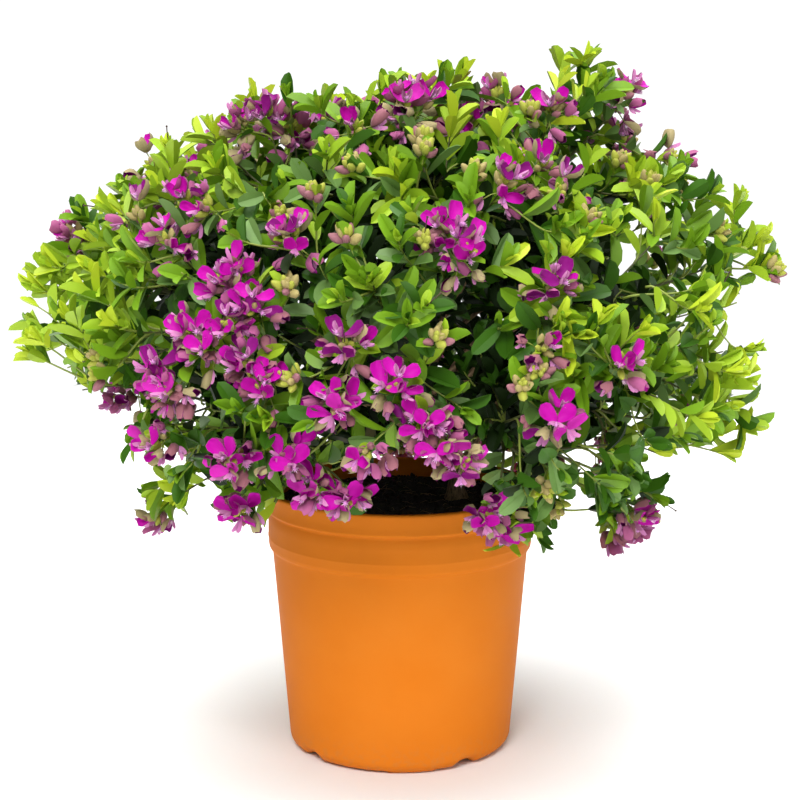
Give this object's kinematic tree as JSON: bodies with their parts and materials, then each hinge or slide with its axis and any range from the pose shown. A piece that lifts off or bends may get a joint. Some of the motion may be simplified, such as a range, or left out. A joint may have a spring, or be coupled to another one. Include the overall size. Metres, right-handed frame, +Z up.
{
  "type": "potted flowering shrub",
  "caption": "Dense rounded shrub of leafy shoots and lobed flower heads on a short leaning trunk, in a tapered nursery pot with a collar.",
  "frame": {"origin": "middle of the pot's flat underside, on the ground", "axes": "+Z up along the pot's axis; -Y towards the side shown in the picture; +X to the right of that side"},
  "size_m": [0.5129, 0.4999, 0.5002],
  "materials": {
    "orange_polypropylene": "satin orange plastic",
    "peat_compost": "dark, moist and crumbly",
    "young_bark": "thin pale brown bark",
    "leaf_surface": "smooth green leaves with magenta flower heads"
  },
  "bodies": {
    "root": {"bough_middle_1": "young_bark", "bough_middle_2": "young_bark", "bough_middle_3": "young_bark", "bough_middle_4": "young_bark", "bough_middle_5": "young_bark", "bough_middle_6": "young_bark", "bough_middle_7": "young_bark", "bough_middle_8": "young_bark", "bough_skirt_1": "young_bark", "bough_skirt_2": "young_bark", "bough_skirt_3": "young_bark", "bough_skirt_4": "young_bark", "bough_skirt_5": "young_bark", "bough_skirt_6": "young_bark", "bough_upper_1": "young_bark", "bough_upper_2": "young_bark", "bough_upper_3": "young_bark", "bough_upper_4": "young_bark", "bough_upper_5": "young_bark", "compost": "peat_compost", "foliage_middle_1": "leaf_surface", "foliage_middle_2": "leaf_surface", "foliage_middle_3": "leaf_surface", "foliage_middle_4": "leaf_surface", "foliage_middle_5": "leaf_surface", "foliage_middle_6": "leaf_surface", "foliage_middle_7": "leaf_surface", "foliage_middle_8": "leaf_surface", "foliage_skirt_1": "leaf_surface", "foliage_skirt_2": "leaf_surface", "foliage_skirt_3": "leaf_surface", "foliage_skirt_4": "leaf_surface", "foliage_skirt_5": "leaf_surface", "foliage_skirt_6": "leaf_surface", "foliage_top": "leaf_surface", "foliage_upper_1": "leaf_surface", "foliage_upper_2": "leaf_surface", "foliage_upper_3": "leaf_surface", "foliage_upper_4": "leaf_surface", "foliage_upper_5": "leaf_surface", "pot": "orange_polypropylene", "trunk": "young_bark"}
  },
  "joints": []
}
